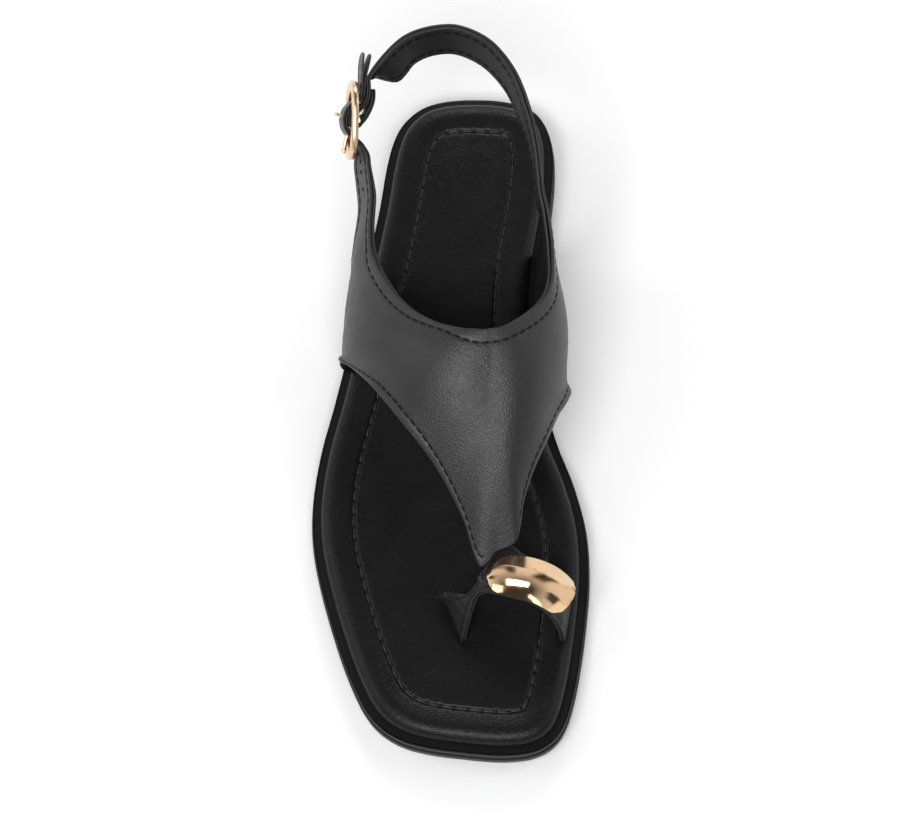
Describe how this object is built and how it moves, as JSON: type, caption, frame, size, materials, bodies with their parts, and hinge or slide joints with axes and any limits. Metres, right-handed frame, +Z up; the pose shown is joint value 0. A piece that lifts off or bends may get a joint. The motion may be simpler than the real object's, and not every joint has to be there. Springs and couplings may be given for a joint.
{
  "type": "sandal",
  "caption": "Flat right-foot sandal with a pointed vamp, a heel strap with an oval buckle, a big-toe loop under a faceted metal cuff, and a padded footbed.",
  "frame": {"origin": "floor under the heel, on the flat of the heel tread", "axes": "+Z up, -Y towards the toe, +X towards the inner (big toe) side"},
  "size_m": [0.1022, 0.258, 0.0914],
  "materials": {
    "outsole": "matt",
    "welt": "satin",
    "footbed": "satin, fine grain",
    "upper": "satin, fine grain",
    "toe_loop": "satin, fine grain",
    "toe_cuff": "polished",
    "buckle_ring": "polished",
    "buckle_prong": "polished"
  },
  "bodies": {
    "root": {"outsole": "outsole", "welt": "welt", "footbed": "footbed", "upper": "upper", "toe_loop": "toe_loop", "toe_cuff": "toe_cuff", "buckle_ring": "buckle_ring", "buckle_prong": "buckle_prong"}
  },
  "joints": []
}
